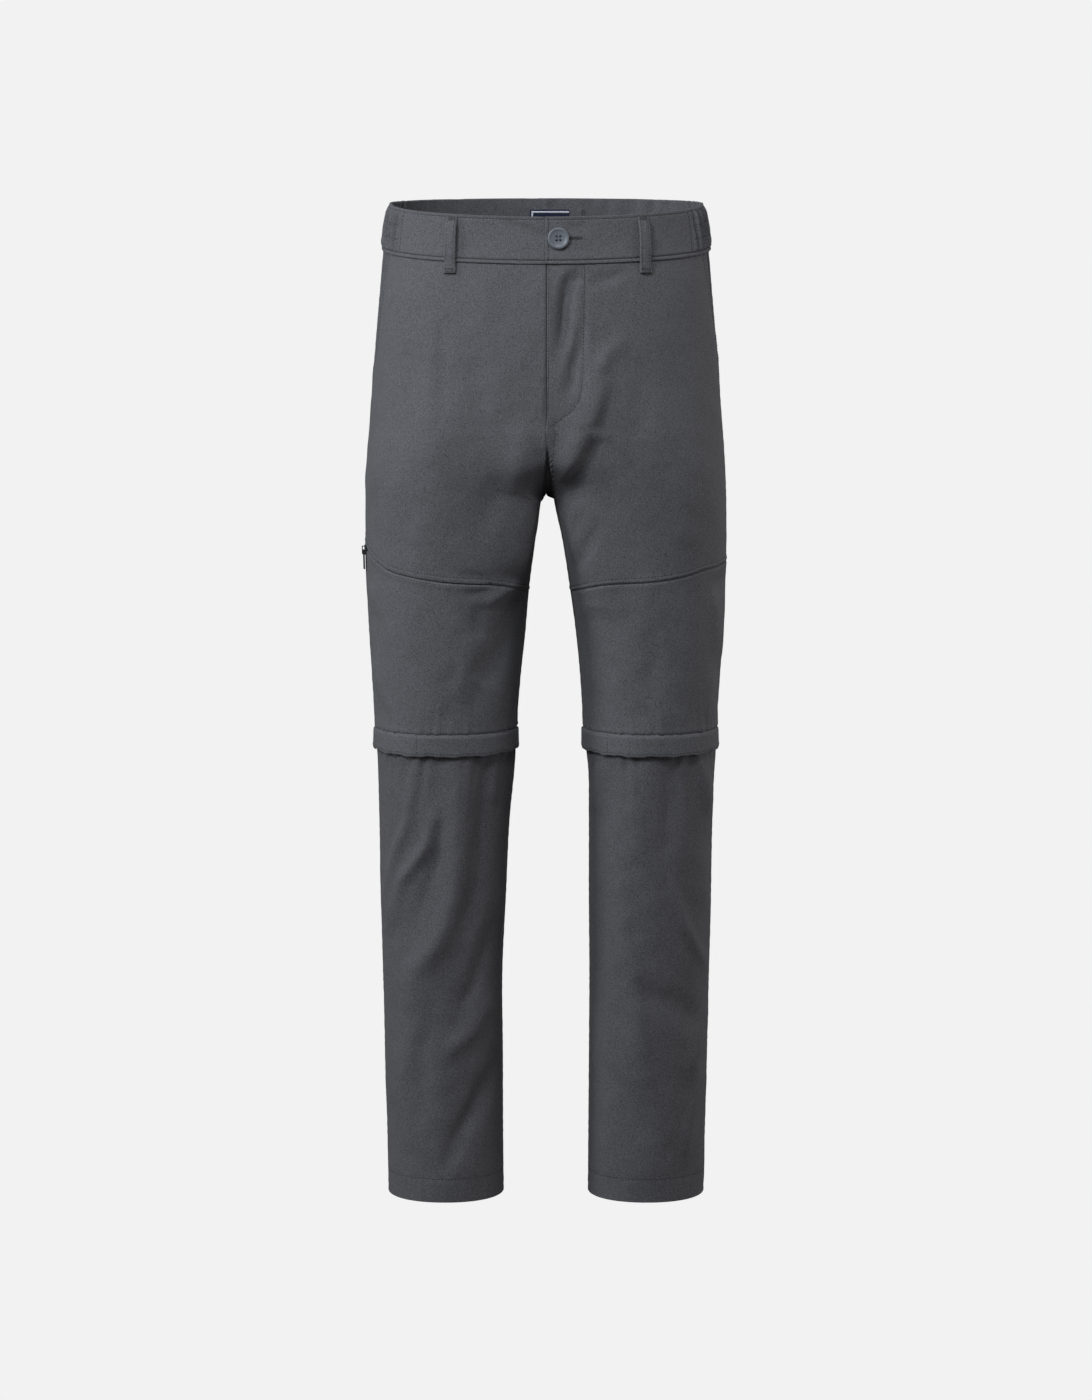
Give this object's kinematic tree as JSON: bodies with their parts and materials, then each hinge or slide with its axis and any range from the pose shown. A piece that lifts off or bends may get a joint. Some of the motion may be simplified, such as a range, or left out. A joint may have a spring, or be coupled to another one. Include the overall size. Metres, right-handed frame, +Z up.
{
  "type": "convertible zip-off trousers, filled out as if worn",
  "caption": "Hollow straight-leg trousers with a button waistband, belt loops, slanted hip pockets, a thigh zip pocket and knee zips under flaps for taking off the lower legs.",
  "frame": {"origin": "middle of the waist opening, half way up the waistband", "axes": "+Z up through the waist, -Y to the front, +X to the garment's own left leg"},
  "size_m": [0.3986, 0.2654, 1.0955],
  "materials": {
    "cloth_upper": "matt woven, slate grey",
    "cloth_lower": "matt woven, slate grey",
    "zip_tape": "matt woven tape",
    "button": "satin moulded",
    "label": "smooth woven",
    "zip_metal": "dark satin"
  },
  "bodies": {
    "trousers": {"front_right": "cloth_upper", "front_left": "cloth_upper", "thigh_front_right": "cloth_upper", "thigh_front_left": "cloth_upper", "back_right": "cloth_upper", "back_left": "cloth_upper", "pocket_facing_right": "cloth_upper", "pocket_facing_left": "cloth_upper", "fly_shield": "cloth_upper", "waistband_front_right": "cloth_upper", "waistband_front_left": "cloth_upper", "waistband_elastic_right": "cloth_upper", "waistband_elastic_left": "cloth_upper", "waistband_back": "cloth_upper", "belt_loop_front_right": "cloth_upper", "belt_loop_front_left": "cloth_upper", "belt_loop_back_right": "cloth_upper", "belt_loop_back_left": "cloth_upper", "belt_loop_back_centre": "cloth_upper", "knee_flap_right": "cloth_upper", "knee_flap_left": "cloth_upper", "knee_zip_right": "zip_tape", "knee_zip_left": "zip_tape", "lower_leg_front_right": "cloth_lower", "lower_leg_front_left": "cloth_lower", "lower_leg_back_right": "cloth_lower", "lower_leg_back_left": "cloth_lower", "thigh_zip_tape": "zip_tape", "thigh_zip_slider": "zip_metal", "button": "button", "label": "label"},
    "zip_pull": {"thigh_zip_pull": "zip_metal"}
  },
  "joints": [
    {"name": "zip_pull_swing", "type": "hinge", "parent": "trousers", "child": "zip_pull", "pos_m": [-0.19891, -0.02209, -0.35709], "axis": [-0.1864, 0.9825, 0], "range_deg": [0, 150]}
  ]
}
